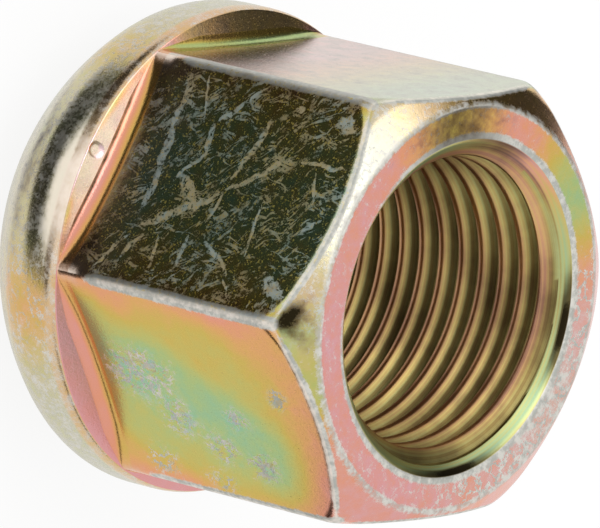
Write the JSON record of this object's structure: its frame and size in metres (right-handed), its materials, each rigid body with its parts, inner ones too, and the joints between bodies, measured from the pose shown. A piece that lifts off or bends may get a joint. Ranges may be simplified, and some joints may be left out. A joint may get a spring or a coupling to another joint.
{
  "type": "lug nut",
  "caption": "Hexagonal wheel nut with a through thread, a chamfered wrench face and a round collar that ends in a ball seat, in worn yellow-plated steel.",
  "frame": {"origin": "centre of the ring at the seat end, on the nut's axis", "axes": "+Z along the nut's axis from the seat end to the wrench face; two of the flats face +Y and -Y"},
  "size_m": [0.0278, 0.028, 0.0255],
  "materials": {
    "plated_steel": "yellow zinc plating, iridescent, worn to grey metal on its edges"
  },
  "bodies": {
    "root": {"lug_nut": "plated_steel"}
  },
  "joints": []
}
